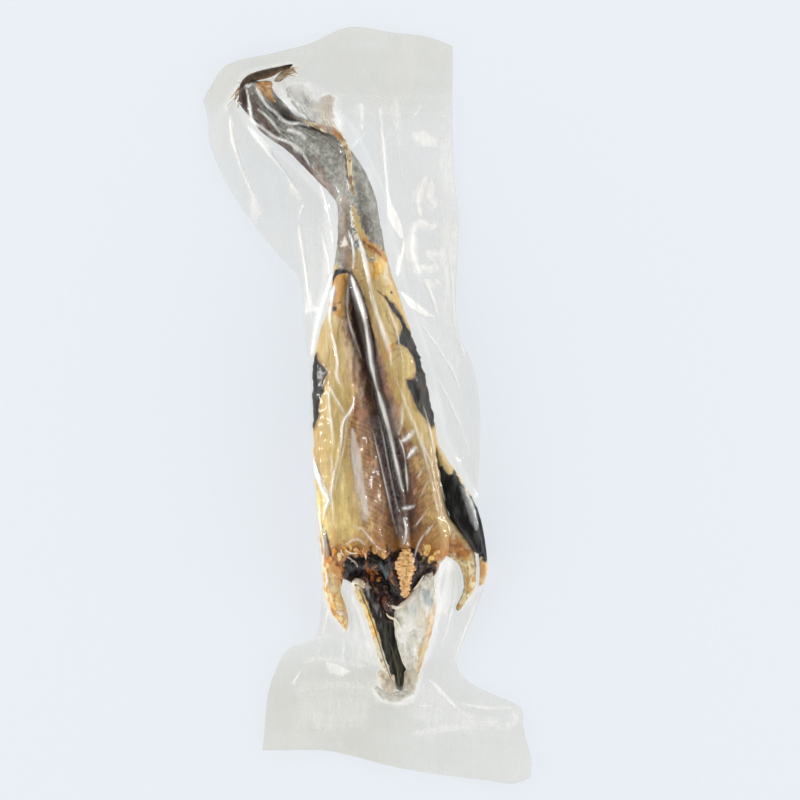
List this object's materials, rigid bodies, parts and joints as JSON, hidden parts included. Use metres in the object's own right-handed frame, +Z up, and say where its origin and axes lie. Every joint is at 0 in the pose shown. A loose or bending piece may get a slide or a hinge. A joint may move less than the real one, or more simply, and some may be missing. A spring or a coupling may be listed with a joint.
{
  "type": "vacuum-packed whole salt cod",
  "caption": "Whole headless dried salt cod, belly opened flat, tail curled to one side, sucked tight in a clear wrinkled film bag with flat sealed margins.",
  "frame": {"origin": "on the resting surface, under the middle of the bag's outline", "axes": "+Y runs from the throat end to the tail end, +Z points up out of the open belly, +X to the right seen from above with the tail away from the viewer"},
  "size_m": [0.3041, 0.7005, 0.0476],
  "materials": {
    "film": "clear glossy vacuum film",
    "dried_flesh": "dried amber fish flesh",
    "fish_skin": "mottled grey dried skin",
    "black_membrane": "black dried belly lining",
    "bone": "dried vertebrae and fin rays"
  },
  "bodies": {
    "root": {"sealed_bag": "film"}
  },
  "joints": []
}
